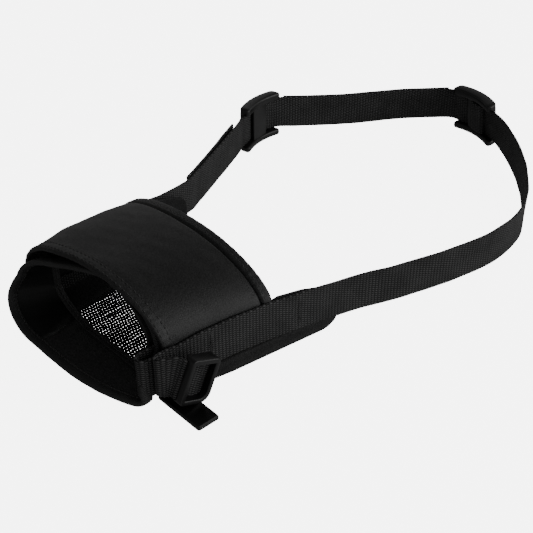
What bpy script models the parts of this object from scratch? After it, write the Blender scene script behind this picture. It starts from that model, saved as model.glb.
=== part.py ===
"""Adjustable fabric dog muzzle: a soft sleeve for the snout with a loop of webbing for the neck.

The frame: the wearer's nose points to -Y, its left side is +X and +Z is up. The muzzle rests on its
chin band, and the origin is on the flat underside of that band, midway between its sides. Units are metres.
"""

import math

import bmesh
import bpy
from mathutils import Matrix, Vector

MM = 0.001
GAP = 0.35 * MM

# Webbing
WEB_WIDTH = 20.0 * MM
WEB_THICK = 1.3 * MM

# Fabric walls of the sleeve
WALL_THICK = 1.8 * MM
LINING_THICK = 1.0 * MM
NET_THICK = 1.2 * MM
BAND_THICK = 1.8 * MM
RIM_THICK = 2.6 * MM
RIM_DEPTH = 5.0 * MM
HEM_DEPTH = 5.0 * MM
TAPE_THICK = 0.8 * MM

# Sleeve outline
HALF_WIDTH_AT_ORIGIN = 44.1 * MM
HALF_WIDTH_SLOPE = 0.126
SADDLE_BASE = 24.0 * MM
SADDLE_FRONT_Y = 9.7 * MM
SADDLE_FRONT_SKEW = 0.07
SADDLE_REAR_Y = 68.5 * MM
SADDLE_FRONT_TOP = 50.3 * MM
SADDLE_REAR_TOP = 44.3 * MM
ARCH_POWER = 1.12
RIGHT_SHOULDER_POWERS = ((0, 1.0), (0.3, 0.76), (0.7, 0.78), (1, 0.94))
BAND_REAR_Y = 17.0 * MM
BAND_TOP = 42.6 * MM
BAND_FRONT_HALF = 44.2 * MM
BAND_REAR_HALF = 38.6 * MM
BAND_RIGHT_BULGE = 3.4 * MM
RIM_CHIN_Y = -9.3 * MM
RIM_SIDE_PULL = 13.5 * MM
RIM_LEAN = 0.33
WING_FRONT_Y = 17.4 * MM
WING_HEM_TOP = 6.6 * MM
NET_REAR_Y = 88.0 * MM

# Neck loop: its pivot, where the straps leave the wings
PIVOT_Y = 104.0 * MM
PIVOT_Z = 12.9 * MM

# Slides
SLIDE_HEIGHT = 28.0 * MM
SLIDE_RAIL = 3.6 * MM
SLIDE_HALF_THICK = 2.75 * MM
SLIDE_BAR_NEAR = 1.05 * MM
SLIDE_BAR_FAR = 2.55 * MM
NECK_SLIDE_LENGTH = 30.0 * MM
NOSE_SLIDE_LENGTH = 15.0 * MM
NOSE_SLIDE_HEIGHT = 22.0 * MM
NOSE_SLIDE_RAIL = 1.8 * MM
NOSE_SLIDE_CENTRE = Vector((58.0, 22.3, 14.0)) * MM
NOSE_SLIDE_TILT = math.radians(18.0)
NOSE_SLIDE_LEAN = math.radians(3.0)

# Pull tab on the chin
TAB_WIDTH = 11.4 * MM
TAB_THICK = 2.0 * MM
TAB_ROOT = Vector((54.0, 16.2, 0.1)) * MM
TAB_TIP_X = 71.6 * MM

UP = Vector((0, 0, 1))


# ---------------------------------------------------------------- small tools


def clear_scene():
    for obj in list(bpy.data.objects):
        bpy.data.objects.remove(obj, do_unlink=True)


def make_material(name, grey, roughness):
    found = bpy.data.materials.get(name) or bpy.data.materials.new(name)
    found.use_nodes = True
    shader = found.node_tree.nodes["Principled BSDF"]
    shader.inputs["Base Color"].default_value = (grey, grey, grey, 1)
    shader.inputs["Roughness"].default_value = roughness
    shader.inputs["Metallic"].default_value = 0
    return found


def lerp(a, b, t):
    return a + (b - a) * t


def table(knots, value):
    """The straight-line reading of (place, amount) knots at one place."""
    if value <= knots[0][0]:
        return knots[0][1]
    for (x0, y0), (x1, y1) in zip(knots, knots[1:]):
        if value <= x1:
            return lerp(y0, y1, (value - x0) / (x1 - x0))
    return knots[-1][1]


def smooth_route(points, spacing):
    """Points at about this spacing along a smooth curve through the given points."""
    points = [Vector(p) * MM for p in points]
    ends = [points[0] * 2 - points[1]] + points + [points[-1] * 2 - points[-2]]
    route = []
    for p0, p1, p2, p3 in zip(ends, ends[1:], ends[2:], ends[3:]):
        steps = max(1, round((p2 - p1).length / (spacing * MM)))
        for k in range(steps):
            t = k / steps
            bend = 2 * p0 - 5 * p1 + 4 * p2 - p3
            twist = 3 * p1 - p0 - 3 * p2 + p3
            route.append(0.5 * (2 * p1 + (p2 - p0) * t + bend * t * t + twist * t**3))
    route.append(points[-1])
    return route


def offset_outline(points, distance, closed=False):
    """The (x, z) outline moved to its left by a distance, corner by corner."""
    moved = []
    count = len(points)
    for i, (x, z) in enumerate(points):
        before = points[(i - 1) % count] if closed or i > 0 else points[i]
        after = points[(i + 1) % count] if closed or i < count - 1 else points[i]
        dx, dz = after[0] - before[0], after[1] - before[1]
        length = math.hypot(dx, dz)
        moved.append((x - dz / length * distance, z + dx / length * distance))
    return moved


def new_object(name, vertices, faces, material, parent):
    mesh = bpy.data.meshes.new(name)
    mesh.from_pydata([tuple(v) for v in vertices], [], faces)
    work = bmesh.new()
    work.from_mesh(mesh)
    bmesh.ops.recalc_face_normals(work, faces=work.faces)
    work.to_mesh(mesh)
    work.free()
    mesh.shade_smooth()
    mesh.set_sharp_from_angle(angle=math.radians(35))
    obj = bpy.data.objects.new(name, mesh)
    bpy.context.scene.collection.objects.link(obj)
    mesh.materials.append(material)
    obj.parent = parent
    return obj


def panel(name, outer, inner, material, parent, closed=False):
    """A closed solid between two grids of points. A closed panel joins each row's last point to its first."""
    rows, columns = len(outer), len(outer[0])
    vertices = [p for row in outer for p in row] + [p for row in inner for p in row]
    shift = rows * columns
    spans = columns if closed else columns - 1

    def quad(i, j, base):
        here, below, k = base + i * columns, base + (i + 1) * columns, (j + 1) % columns
        return [here + j, here + k, below + k, below + j]

    faces = []
    for i in range(rows - 1):
        for j in range(spans):
            faces.append(quad(i, j, 0))
            faces.append(quad(i, j, shift)[::-1])
    for i in (0, rows - 1):
        for j in range(spans):
            a, b = i * columns + j, i * columns + (j + 1) % columns
            faces.append([a, b, b + shift, a + shift])
    if not closed:
        for j in (0, columns - 1):
            for i in range(rows - 1):
                a, b = i * columns + j, (i + 1) * columns + j
                faces.append([a, b, b + shift, a + shift])
    return new_object(name, vertices, faces, material, parent)


def ribbon(name, stations, thickness, material, parent):
    """A flat strip along stations of (centre, edge direction with length of half the width)."""
    centres = [station[0] for station in stations]
    outer, inner = [], []
    for i, (centre, half) in enumerate(stations):
        along = centres[min(i + 1, len(centres) - 1)] - centres[max(i - 1, 0)]
        normal = along.cross(half).normalized() * (thickness / 2)
        outer.append([centre - half + normal, centre + half + normal])
        inner.append([centre - half - normal, centre + half - normal])
    return panel(name, outer, inner, material, parent)


def standing(point, low, high):
    """A ribbon station for webbing that stands on its edge."""
    return Vector((point.x, point.y, (low + high) / 2)), UP * ((high - low) / 2)


def block(name, low, high, material, parent, bevel=0.0):
    """A box between two corners in its parent's axes, with softened edges."""
    work = bmesh.new()
    bmesh.ops.create_cube(work, size=1)
    size = Vector(high) - Vector(low)
    for vertex in work.verts:
        vertex.co = Vector(a * b for a, b in zip(vertex.co, size)) + (Vector(low) + Vector(high)) / 2
    if bevel:
        bmesh.ops.bevel(work, geom=list(work.edges), offset=bevel, segments=2, affect="EDGES", profile=0.5)
    mesh = bpy.data.meshes.new(name)
    work.to_mesh(mesh)
    work.free()
    mesh.materials.append(material)
    obj = bpy.data.objects.new(name, mesh)
    bpy.context.scene.collection.objects.link(obj)
    obj.parent = parent
    return obj


def turned_to(x_axis, y_axis, z_axis):
    """The rotation whose local axes are these three."""
    return Matrix((x_axis, y_axis, z_axis)).transposed().to_euler()


def empty(name, location, parent=None):
    found = bpy.data.objects.new(name, None)
    bpy.context.scene.collection.objects.link(found)
    found.location = location
    found.parent = parent
    return found


# ---------------------------------------------------------------- sleeve


def half_width(y):
    return HALF_WIDTH_AT_ORIGIN + HALF_WIDTH_SLOPE * y


def strap_low(y):
    """The lower edge of the side straps, which rise over the wings' hems."""
    knots = [(0, 4.4), (14, 4.6), (31, 6.8), (50, 7.4), (68, 6.5), (85, 5.2), (97, 3.6), (108, 2.0)]
    return table(knots, y / MM) * MM


def arch(y, inset):
    """The saddle's (x, z) outline at one place, moved inwards. Its right shoulder is the fuller one."""
    share = (y - SADDLE_FRONT_Y) / (SADDLE_REAR_Y - SADDLE_FRONT_Y)
    top = lerp(SADDLE_FRONT_TOP, SADDLE_REAR_TOP, share)
    full = table(RIGHT_SHOULDER_POWERS, share)
    points = []
    steps = 22
    for k in range(steps + 1):
        angle = math.pi * k / steps
        across, rise = math.cos(angle), max(math.sin(angle), 0)
        if across < 0:
            across, rise = -((-across) ** full), rise**full
        else:
            rise **= ARCH_POWER
        points.append((half_width(y) * across, SADDLE_BASE + (top - SADDLE_BASE) * rise))
    return offset_outline(points, inset)


def arch_panel(name, material, parent, start, end, inset, thickness, rows):
    """A curved panel over the snout. Its front edge is skewed, as the sleeve lies twisted."""
    outer, inner = [], []
    for i in range(rows):
        t = i / (rows - 1)
        y = lerp(start, end, t)
        skew = SADDLE_FRONT_SKEW * (1 - (y - SADDLE_FRONT_Y) / (SADDLE_REAR_Y - SADDLE_FRONT_Y))
        for grid, depth in ((outer, inset), (inner, inset + thickness)):
            row = []
            for x, z in arch(y, depth):
                skewed = y + skew * x
                row.append(Vector((x + (half_width(skewed) - half_width(y)) * x / half_width(y), skewed, z)))
            grid.append(row)
    return panel(name, outer, inner, material, parent)


def build_saddle(parent, shell, trim):
    rear_hem = SADDLE_REAR_Y - HEM_DEPTH
    front_hem = SADDLE_FRONT_Y + HEM_DEPTH
    lining_inset = WALL_THICK + GAP
    arch_panel("nose_saddle", shell, parent, front_hem + GAP, rear_hem - GAP, 0, WALL_THICK, 7)
    arch_panel("saddle_front_hem", shell, parent, SADDLE_FRONT_Y, front_hem, 0, WALL_THICK, 2)
    arch_panel("saddle_rear_hem", shell, parent, rear_hem, SADDLE_REAR_Y, 0, WALL_THICK, 2)
    arch_panel("saddle_lining", trim, parent, 20.5 * MM, rear_hem, lining_inset, LINING_THICK, 6)


def band_outline(half, bulge, top):
    """The chin band's closed (x, z) outline: flat below, close-cornered on the left, bulging on the right."""
    corner, slope_x, slope_z, wall_top = 4.5 * MM, 24 * MM, 14 * MM, 24.6 * MM
    points = []
    for k in range(5):
        angle = math.radians(-90 + 90 * k / 4)
        points.append((half - corner + corner * math.cos(angle), corner + corner * math.sin(angle)))
    points.append((half, (corner + wall_top) / 2))
    for k in range(17):
        angle = math.pi * k / 16
        rise = (top - wall_top) * max(math.sin(angle), 0) ** ARCH_POWER
        points.append((half * math.cos(angle), wall_top + rise))
    points.append((-half - 0.7 * bulge, (slope_z + wall_top) / 2))
    for k in range(7):
        angle = math.radians(180 + 90 * k / 6)
        x = -half - bulge + slope_x + slope_x * math.cos(angle)
        points.append((x, slope_z + slope_z * math.sin(angle)))
    for x in (-8 * MM, 12 * MM, 28 * MM):
        points.append((x, 0))
    return points


def rim_y(x, z):
    """Where the nose opening's rim lies: forward at the chin, further back at the top and on the left."""
    pull = max(0, (x + 10 * MM) / (57 * MM)) ** 2.6
    return RIM_CHIN_Y + RIM_LEAN * z * (1 - min(pull, 1)) + RIM_SIDE_PULL * min(pull, 1)


def band_ring(name, material, parent, places, inset, thickness):
    """A ring of the chin band. Places are (share of the way back, distance from there)."""
    outer, inner = [], []
    for share, distance in places:
        half = lerp(BAND_FRONT_HALF, BAND_REAR_HALF, share)
        outline = band_outline(half, BAND_RIGHT_BULGE * (1 - share), BAND_TOP)
        rows = (offset_outline(outline, inset, True), offset_outline(outline, inset + thickness, True))
        for grid, points in zip((outer, inner), rows):
            row = []
            for (x, z), edge in zip(points, outline):
                row.append(Vector((x, lerp(rim_y(*edge), BAND_REAR_Y, share) + distance, z)))
            grid.append(row)
    return panel(name, outer, inner, material, parent, closed=True)


def build_band(parent, shell, trim):
    tape_inset = BAND_THICK + GAP
    band_places = [(0, RIM_DEPTH + GAP), (0.6, 0.2 * RIM_DEPTH), (1, 0)]
    band_ring("front_rim_binding", shell, parent, [(0, 0), (0, RIM_DEPTH)], 0, RIM_THICK)
    band_ring("chin_band", shell, parent, band_places, 0, BAND_THICK)
    band_ring("band_seam_tape", trim, parent, [(1, -4 * MM), (1, 0)], tape_inset, TAPE_THICK)


def net_outline(y):
    """The net's (x, z) outer outline: up both sides, with rounded corners at the floor."""
    half = half_width(y) - WALL_THICK - 2 * GAP - 1.2 * MM
    floor, radius, top = 0.6 * MM, 6 * MM, 21 * MM
    points = [(-half, top), (-half, 13 * MM)]
    for k in range(5):
        angle = math.radians(180 + 90 * k / 4)
        points.append((-half + radius + radius * math.cos(angle), floor + radius + radius * math.sin(angle)))
    points.append((0, floor))
    return points + [(-x, z) for x, z in reversed(points[:-1])]


def build_net(parent, net, trim):
    def strip(name, material, start, end, rows, inset, thickness):
        outer, inner = [], []
        for i in range(rows):
            y = lerp(start, end, i / (rows - 1))
            outer.append([Vector((x, y, z)) for x, z in offset_outline(net_outline(y), inset)])
            inner.append([Vector((x, y, z)) for x, z in offset_outline(net_outline(y), inset + thickness)])
        panel(name, outer, inner, material, parent)

    strip("chin_net", net, WING_FRONT_Y, NET_REAR_Y - GAP, 5, 0, NET_THICK)
    strip("net_rear_binding", trim, NET_REAR_Y, NET_REAR_Y + HEM_DEPTH, 2, -0.4 * MM, NET_THICK + 0.8 * MM)


def build_wing(side, parent, shell, trim):
    """The side panel behind one strap, and the folded hem below it that stands on the floor."""
    name = "left" if side > 0 else "right"
    top_knots = [(17, 23.5), (69.2, 23.5), (70.4, 27.0), (88, 24.6), (100, 21.0), (107, 17.0), (109, 14.0)]
    outer, inner = [], []
    for y in (WING_FRONT_Y / MM, 30, 45, 60, 69.2, 70.4, 80, 88, 100, 107, 109):
        x = half_width(y * MM)
        low = WING_HEM_TOP + GAP
        high = table(top_knots, y) * MM
        outer.append([Vector((side * x, y * MM, z)) for z in (low, high)])
        inner.append([Vector((side * (x - WALL_THICK), y * MM, z)) for z in (low, high)])
    panel("wing_" + name, outer, inner, shell, parent)

    end_knots = [(17, 0), (104, 0), (108, 1.0), (110, 2.4)]
    hem_outer, hem_inner = [], []
    for y in (WING_FRONT_Y / MM, 40, 60, 80, 96, 104, 108, 110):
        x = half_width(y * MM) - 0.1 * MM
        low = table(end_knots, y) * MM
        high = WING_HEM_TOP - low * 0.4
        hem_outer.append([Vector((side * x, y * MM, z)) for z in (low, high)])
        hem_inner.append([Vector((side * (x - 2.2 * MM), y * MM, z)) for z in (low, high)])
    panel("wing_hem_" + name, hem_outer, hem_inner, trim, parent)


def build_side_strap(side, parent, web):
    """The webbing sewn along one side. The left one turns in round the front rim."""
    name = "left" if side > 0 else "right"
    offset = GAP + WEB_THICK / 2
    route = []
    if side > 0:
        outside = half_width(5 * MM) + offset
        inside = 40.5 * MM
        centre, radius = (outside + inside) / 2, (outside - inside) / 2
        turn_y = 3.2 * MM
        route.append(Vector((inside, 7.5 * MM, 0)))
        for k in range(9):
            angle = math.radians(180 + 180 * k / 8)
            route.append(Vector((centre + radius * math.cos(angle), turn_y + radius * math.sin(angle), 0)))
    for y in (8, 14, 22, 31, 40, 50, 59, 68, 77, 85, 97, 107):
        route.append(Vector((side * (half_width(y * MM) + offset), y * MM, 0)))
    stations = []
    for point in route:
        low = strap_low(point.y)
        stations.append(standing(point, low, low + WEB_WIDTH))
    ribbon("side_strap_" + name, stations, WEB_THICK, web, parent)


def build_bar_tacks(side, parent, thread):
    """Rows of close stitching that hold the strap's ends to the panels."""
    name = "left" if side > 0 else "right"
    for place, y in (("front", 37.0), ("rear", 84.0)):
        x = side * (half_width(y * MM) + GAP + WEB_THICK + 0.3 * MM)
        low = strap_low(y * MM)
        x0, x1 = sorted((x, x + side * 0.6 * MM))
        y0, y1 = (y - 0.8) * MM, (y + 0.8) * MM
        block(f"bar_tack_{place}_{name}", (x0, y0, low + 2 * MM), (x1, y1, low + 18 * MM), thread, parent)


# ---------------------------------------------------------------- nose strap, slide and tab


def slide_axes():
    """The nose slide's axes: along its webbing and up its bars."""
    along = Vector((0.03, math.cos(NOSE_SLIDE_TILT), -math.sin(NOSE_SLIDE_TILT))).normalized()
    outward = Vector((math.cos(NOSE_SLIDE_LEAN), 0, -math.sin(NOSE_SLIDE_LEAN)))
    return along, outward.cross(along).normalized()


def build_nose_strap(parent, web):
    """A doubled strip: it is sewn by its inner leg, folds at the rim and flares out to its slide."""
    along, bars = slide_axes()
    half = WEB_WIDTH / 2
    upright = [
        (49.0, 17.0, 16.4), (48.9, 11.0, 16.8), (48.9, 7.0, 17.0), (49.4, 5.0, 17.0),
        (50.6, 4.4, 17.0), (52.0, 5.6, 17.0), (53.8, 8.2, 17.0),
    ]
    stations = [(Vector(p) * MM, UP * half) for p in upright]
    stations.append((Vector((56.4, 12.2, 16.9)) * MM, UP.lerp(bars, 0.8).normalized() * half))
    for distance in (-7.6, -2, 3, 6.4):
        stations.append((NOSE_SLIDE_CENTRE + along * distance * MM, bars * 0.45 * WEB_WIDTH))
    ribbon("nose_strap", stations, WEB_THICK, web, parent)


def build_slide(name, place, length, height, rail, levels, plastic):
    """A three-bar slide: two rails joined by bars, each bar on the webbing's outer (+1) or inner (-1) side.

    In the slide's own axes X runs along the webbing, Y outwards and Z along the bars.
    """
    half_l, half_h, t = length / 2, height / 2, SLIDE_HALF_THICK
    body = block(name, (-half_l, -t, half_h - rail), (half_l, t, half_h), plastic, place, 0.6 * MM)
    lower, upper = (-half_l, -t, -half_h), (half_l, t, rail - half_h)
    pieces = [block(name + "_rail", lower, upper, plastic, place, 0.6 * MM)]
    for k, (level, centre, width) in enumerate(levels):
        low, high = sorted((level * SLIDE_BAR_NEAR, level * SLIDE_BAR_FAR))
        corner0 = (centre - width / 2, low, 0.4 * rail - half_h)
        corner1 = (centre + width / 2, high, half_h - 0.4 * rail)
        pieces.append(block(f"{name}_bar_{k}", corner0, corner1, plastic, place, 0.4 * MM))
    for piece in pieces:
        piece.hide_render = True
        piece.display_type = "WIRE"
        join = body.modifiers.new("join_" + piece.name, "BOOLEAN")
        join.operation = "UNION"
        join.object = piece
    return body


def build_nose_slide(parent, plastic):
    along, bars = slide_axes()
    place = empty("nose_slide_place", NOSE_SLIDE_CENTRE, parent)
    place.rotation_euler = turned_to(along, along.cross(bars), -bars)
    levels = ((1, -6.5 * MM, 2.0 * MM), (-1, 0.2 * MM, 2.8 * MM), (-1, 6.5 * MM, 2.0 * MM))
    size = (NOSE_SLIDE_LENGTH, NOSE_SLIDE_HEIGHT, NOSE_SLIDE_RAIL)
    return build_slide("nose_slide", place, *size, levels, plastic)


def rounded_slab(name, outline, low, high, material, parent):
    """A flat slab with the given plan outline."""
    count = len(outline)
    vertices = [Vector((x, y, low)) for x, y in outline] + [Vector((x, y, high)) for x, y in outline]
    faces = [list(range(count))[::-1], list(range(count, 2 * count))]
    faces += [[i, (i + 1) % count, (i + 1) % count + count, i + count] for i in range(count)]
    return new_object(name, vertices, faces, material, parent)


def build_tab(parent, plastic, web):
    """The pull tab, in the axes of its swivel, and the folded patch that holds it."""
    place = empty("chin_tab_swivel", TAB_ROOT, parent)
    half, root, corner = TAB_WIDTH / 2, TAB_WIDTH / 2 - 1.2 * MM, 1.5 * MM
    tip = TAB_TIP_X - TAB_ROOT.x
    outline = []
    for k in range(9):
        angle = math.radians(90 + 180 * k / 8)
        outline.append((root * math.cos(angle), half * math.sin(angle)))
    for centre_y, start in ((corner - half, -90), (half - corner, 0)):
        for k in range(4):
            angle = math.radians(start + 90 * k / 3)
            outline.append((tip - corner + corner * math.cos(angle), centre_y + corner * math.sin(angle)))
    rounded_slab("chin_tab", outline, 0, TAB_THICK, plastic, place)
    low, high = Vector((46.6, 11.2, 0.2)) * MM, Vector((48.9, 21.2, 3.4)) * MM
    block("chin_tab_anchor", low, high, web, parent, 0.4 * MM)


# ---------------------------------------------------------------- neck loop

LOOP_SPACING = 9.0
LOOP_RAISED = 4.2
LEFT_SLIDE_A = Vector((-6.6, 310.4, 0)) * MM
LEFT_SLIDE_B = Vector((-27.1, 321.8, 0)) * MM
RIGHT_SLIDE_A = Vector((-103.9, 216.4, 0)) * MM
RIGHT_SLIDE_B = Vector((-95.3, 190.0, 0)) * MM

# The loop's route from the left wing round to the right one: x, y and the lower edge's height in millimetres
LEFT_ROUTE = [
    (60.0, 104.0, 2.9), (61.2, 121.0, 1.2), (67.3, 142.0, 0.2), (74.6, 172.8, 0.0), (78.0, 200.7, 0.0),
    (73.6, 230.0, 0.0), (58.3, 257.3, 0.5), (37.7, 279.9, 1.9), (15.6, 297.3, 3.7), (1.0, 306.2, 4.2),
    (-6.6, 310.4, 4.2), (-27.1, 321.8, 4.2),
]
REAR_ROUTE = [
    (-29.5, 321.2, 4.2), (-35.0, 314.9, 3.8), (-61.1, 291.9, 1.0), (-79.2, 263.5, 0.4), (-95.7, 234.4, 2.6),
    (-103.3, 220.2, 4.2), (-103.9, 216.4, 4.2),
]
RIGHT_ROUTE = [
    (-95.3, 190.0, 4.2), (-92.9, 182.6, 4.2), (-88.0, 169.4, 3.2), (-80.8, 151.8, 0.9), (-70.4, 130.2, 0.2),
    (-63.5, 117.0, 1.2), (-60.0, 104.0, 2.9),
]


def pivot_end(side):
    """Stations for a round, flat end of the neck strap, centred on the loop's pivot."""
    stations = []
    for degrees in (14, 32, 52, 72):
        angle = math.radians(degrees)
        y = PIVOT_Y - WEB_WIDTH / 2 * math.cos(angle)
        reach = WEB_WIDTH / 2 * math.sin(angle)
        stations.append((Vector((side * 60 * MM, y, PIVOT_Z)), UP * reach))
    return stations


def build_neck_strap(parent, web):
    stations = pivot_end(1)
    for point in smooth_route(LEFT_ROUTE + REAR_ROUTE + RIGHT_ROUTE, LOOP_SPACING):
        stations.append(standing(point, point.z, point.z + WEB_WIDTH))
    stations += reversed(pivot_end(-1))
    ribbon("neck_strap", stations, WEB_THICK, web, parent)


def outer_ply(name, points, distances, material, parent):
    """A doubled-back ply along a stretch of the loop, at a changing distance outside the inner ply."""
    route = smooth_route(points, LOOP_SPACING)
    count = len(route) - 1
    stations = []
    for i, point in enumerate(route):
        along = route[min(i + 1, count)] - route[max(i - 1, 0)]
        outward = Vector((along.y, -along.x, 0)).normalized() * table(distances, i / count) * MM
        stations.append(standing(point + outward, point.z, point.z + WEB_WIDTH))
    ribbon(name, stations, WEB_THICK, material, parent)


def build_neck_tails(parent, web):
    """The doubled-back outer plies of the rear and right straps."""
    rear = [(-37.0, 312.6, 3.6)] + REAR_ROUTE[2:-2] + [(-100.6, 224.9, 3.6)]
    outer_ply("rear_strap_outer_ply", rear, [(0, 1.8), (0.3, 2.6), (0.7, 2.6), (1, 1.8)], web, parent)
    right = [(-90.9, 177.3, 4.0)] + RIGHT_ROUTE[2:-1]
    outer_ply("right_strap_outer_ply", right, [(0, 1.8), (0.5, 3.0), (1, 2.4)], web, parent)


def build_neck_slide(name, a, b, parent, plastic):
    """A slide centred between two points of the loop, with its end bars outside the webbing."""
    centre = (a + b) / 2
    direction = (b - a).normalized()
    # The loop is walked anticlockwise, so its outer side is to the right
    outward = Vector((direction.y, -direction.x, 0))
    place = empty(name + "_place", centre + UP * (LOOP_RAISED * MM + WEB_WIDTH / 2), parent)
    place.rotation_euler = turned_to(direction, -outward, UP)
    levels = ((-1, -13.4 * MM, 3.0 * MM), (1, 0, 12.0 * MM), (-1, 13.4 * MM, 3.0 * MM))
    return build_slide(name, place, NECK_SLIDE_LENGTH, SLIDE_HEIGHT, SLIDE_RAIL, levels, plastic)


def build():
    clear_scene()
    shell = make_material("coated_fabric", 0.012, 0.5)
    trim = make_material("binding_fabric", 0.010, 0.8)
    net = make_material("net_fabric", 0.010, 0.8)
    web = make_material("webbing", 0.010, 0.75)
    thread = make_material("thread", 0.010, 0.7)
    plastic = make_material("moulded_plastic", 0.010, 0.35)

    muzzle = empty("muzzle", (0, 0, 0))
    build_saddle(muzzle, shell, trim)
    build_band(muzzle, shell, trim)
    build_net(muzzle, net, trim)
    for side in (1, -1):
        build_wing(side, muzzle, shell, trim)
        build_side_strap(side, muzzle, web)
        build_bar_tacks(side, muzzle, thread)
    build_nose_strap(muzzle, web)
    build_nose_slide(muzzle, plastic)
    build_tab(muzzle, plastic, web)

    loop = empty("neck_loop", (0, PIVOT_Y, PIVOT_Z))
    loop_origin = empty("neck_loop_origin", (0, -PIVOT_Y, -PIVOT_Z), loop)
    build_neck_strap(loop_origin, web)
    build_neck_tails(loop_origin, web)
    build_neck_slide("neck_slide_left", LEFT_SLIDE_A, LEFT_SLIDE_B, loop_origin, plastic)
    build_neck_slide("neck_slide_right", RIGHT_SLIDE_A, RIGHT_SLIDE_B, loop_origin, plastic)


build()
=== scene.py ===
"""The looks of an adjustable fabric dog muzzle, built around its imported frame.

Shapes are worked out in millimetres in the frame's axes: the wearer's nose points to -Y, its left side is +X
and +Z is up. finish_mesh() turns them into metres. Cloth coordinates are millimetres of fabric.
"""

import math

import bmesh
import bpy
import numpy as np
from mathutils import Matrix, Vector


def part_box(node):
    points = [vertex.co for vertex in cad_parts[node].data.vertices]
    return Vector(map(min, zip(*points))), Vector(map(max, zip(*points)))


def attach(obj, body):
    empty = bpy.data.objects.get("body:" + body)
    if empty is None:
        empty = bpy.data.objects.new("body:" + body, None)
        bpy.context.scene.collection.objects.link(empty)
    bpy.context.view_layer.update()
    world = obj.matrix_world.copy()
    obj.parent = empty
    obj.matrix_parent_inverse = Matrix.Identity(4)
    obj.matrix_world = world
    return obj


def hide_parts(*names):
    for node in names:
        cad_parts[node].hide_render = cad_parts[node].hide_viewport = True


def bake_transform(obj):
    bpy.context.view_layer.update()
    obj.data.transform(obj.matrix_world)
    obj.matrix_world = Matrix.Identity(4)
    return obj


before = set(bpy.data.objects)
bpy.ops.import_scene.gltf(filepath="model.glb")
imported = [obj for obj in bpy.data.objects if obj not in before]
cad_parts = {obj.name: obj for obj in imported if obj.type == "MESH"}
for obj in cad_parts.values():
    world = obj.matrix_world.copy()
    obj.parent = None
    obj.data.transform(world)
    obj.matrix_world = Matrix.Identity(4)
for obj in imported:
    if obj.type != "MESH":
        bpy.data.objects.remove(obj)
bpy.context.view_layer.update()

MM = 0.001
UP = np.array([0.0, 0.0, 1.0])
CLOTH = "cloth"


def box_mm(node):
    """A CAD node's lowest and highest corners in millimetres."""
    return [np.array(corner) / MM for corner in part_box(node)]


# -------- sizes

WEB_WIDTH = 20.0
WEB_THICK = 1.3
WEB_STEP = 0.45
WEB_GAP = 0.35
RIB_PITCH = 1.8
DOT_PITCH = 1.15

SATIN_PITCH = 0.5
BINDING_PITCH = 0.7
THREAD_TWIST = 0.35

HALF_WIDTH = 44.1
FLARE = 0.126
ARCH_POWER = 1.12
SADDLE_BASE = 24.0
SADDLE_FRONT = 7.6
SADDLE_REAR = 70.6
SADDLE_FRONT_TOP = box_mm("saddle_front_hem")[1][2]
SADDLE_REAR_TOP = 44.3
SADDLE_SKEW = 0.07
SADDLE_LEFT_PULL = 0.08
SADDLE_RIGHT_DIP = 0.04
SADDLE_INSET = 0.9
SADDLE_THICK = 2.0
FRONT_HEM = 6.4
REAR_HEM = 6.0

RIM_DEPTH = 5.0
RIM_THICK = 2.8
RIM_CHIN = -9.3
RIM_PULL = 13.5
RIM_LEAN = 0.33
BAND_REAR = 17.0
BAND_THICK = 1.6
BAND_TOP = 42.6
BAND_FRONT_HALF = 44.2
BAND_REAR_HALF = 38.6
BAND_BULGE = 4.8
RING_POINTS = 240

NET_FRONT = 15.5
NET_REAR = 92.0
NET_PITCH = 2.0
NET_ROW = 1.5
NET_STRAND = 0.08
NET_HOLE = 0.19
NET_INSET = 3.7
NET_FLOOR = 1.0
NET_CORNER = 6.0
NET_LEFT_CORNER = 14.0

# Tables of (y, amount) along a wing and a side strap
WING_TOP = ((17, 23.4), (66, 23.4), (69.5, 25.4), (74, 26.6), (88, 24.4), (100, 20.6), (107, 16.6),
            (109.5, 13))
WING_FOOT = ((17, 0.6), (30, 0), (100, 0), (105, 0.7), (109.5, 3.4))
WING_FLARE = ((17, 1.5), (30, 3.6), (45, 4.6), (96, 4.6), (104, 3.0), (109.5, 0.5))
WING_TURNED_IN = ((17, -28), (45, -23), (70, -17), (96, -11), (109.5, -1))
LEFT_KICK = 1.65
STRAP_LOW = ((0, 4.4), (14, 4.6), (31, 6.8), (50, 7.4), (68, 6.5), (85, 5.2), (97, 3.6), (108, 2.0))

LOOP_RAISED = 4.2

SLIDE_BOW = 2.8
SLIDE_REACH = 15.4
SLIDE_LENGTH = 34.0
SLIDE_HEIGHT = 28.0
RAIL_HEIGHT = 4.0
RAIL_DEPTH = (-4.4, 2.9)

# The stage, in metres; the lens is in millimetres
FLOOR_GLOW = 6.0
FLOOR_REACH = 40.0
CAMERA_LENS = 65.5
CAMERA_PLACE = (0.3034, -0.1660, 0.2811)
CAMERA_AIM = (-0.60371, 0.56100, -0.56641)


# -------- arrays


def unit(v):
    return v / np.maximum(np.linalg.norm(v, axis=-1, keepdims=True), 1e-9)


def step(a, b, x):
    """0 before a, 1 after b, eased in between."""
    t = np.clip((np.asarray(x, float) - a) / (b - a), 0, 1)
    return t * t * (3 - 2 * t)


def bump(x, centre, width):
    return np.exp(-(((x - centre) / width) ** 2))


def knots(x, pairs):
    """The straight-line reading of (place, amount) pairs."""
    places, amounts = zip(*pairs)
    return np.interp(x, places, amounts)


def lengths(points):
    """How far along a line of points each one is."""
    return np.concatenate([[0], np.cumsum(np.linalg.norm(np.diff(points, axis=0), axis=1))])


def at_distances(values, run, places):
    """Rows of values, which belong to distances run, read at other distances."""
    return np.stack([np.interp(places, run, column) for column in values.T], -1)


def shut(points):
    """A line of points that comes back to its start."""
    return np.vstack([points, points[:1]])


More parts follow.
